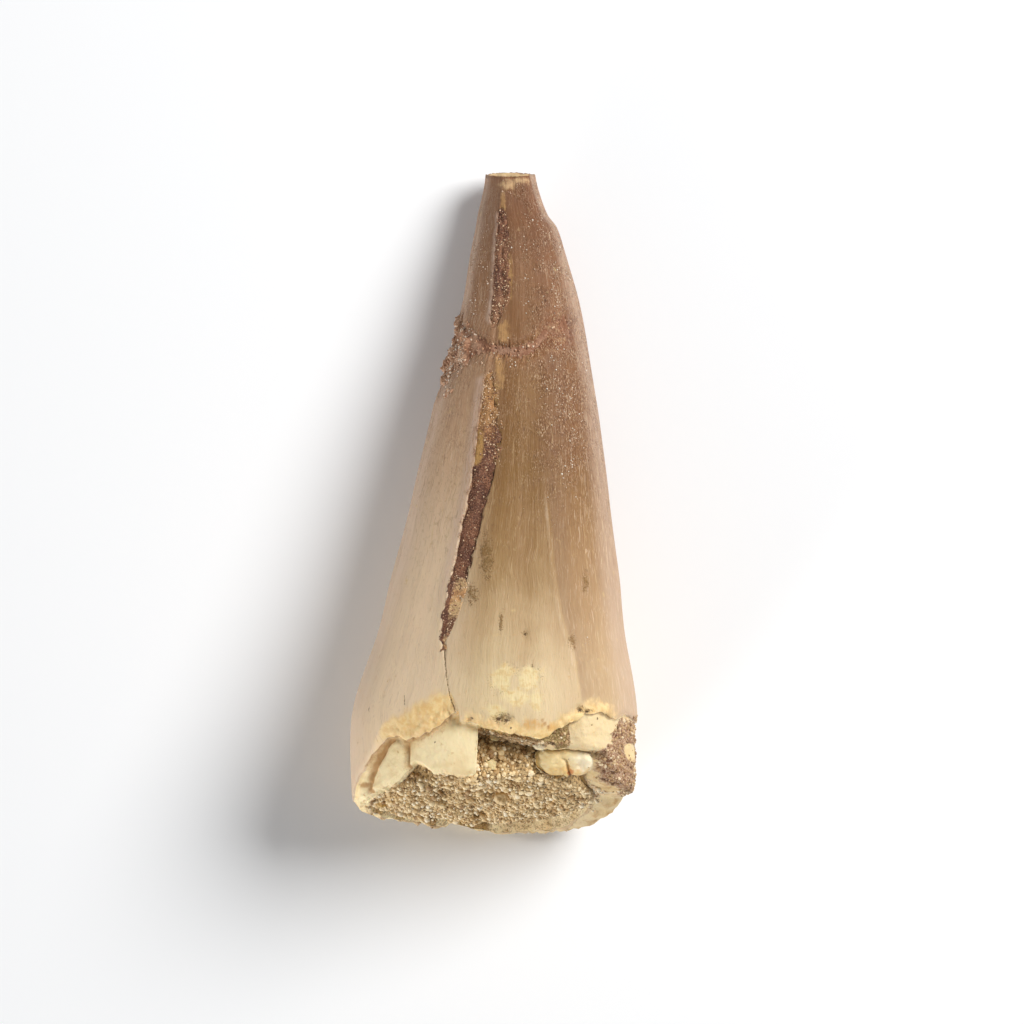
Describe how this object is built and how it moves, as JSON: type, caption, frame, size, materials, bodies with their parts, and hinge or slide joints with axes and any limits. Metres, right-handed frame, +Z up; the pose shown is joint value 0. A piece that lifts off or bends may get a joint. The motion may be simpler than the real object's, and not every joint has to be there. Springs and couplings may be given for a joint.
{
  "type": "mosasaur tooth",
  "caption": "Cone-shaped fossil reptile tooth lying on its side, broken at tip and base, with sandy matrix set in its pulp cavity; a display, study or prop specimen.",
  "frame": {"origin": "a point on the small flat spot that the tooth rests on, under the middle of its length", "axes": "+Y along the tooth from the broken base to the broken tip, +Z up from the table, +X towards the flank that bulges more near the tip"},
  "size_m": [0.0217, 0.0499, 0.0184],
  "materials": {
    "enamel_and_dentine": "satin",
    "sandy_matrix": "matte",
    "fissure_sediment": "matte",
    "break_sediment": "matte",
    "dentine": "satin"
  },
  "bodies": {
    "root": {"tooth_crown": "enamel_and_dentine", "matrix_plug": "sandy_matrix", "fissure_sediment_tip": "fissure_sediment", "fissure_sediment_body": "fissure_sediment", "break_sediment": "break_sediment", "dentine_chip": "dentine"}
  },
  "joints": []
}
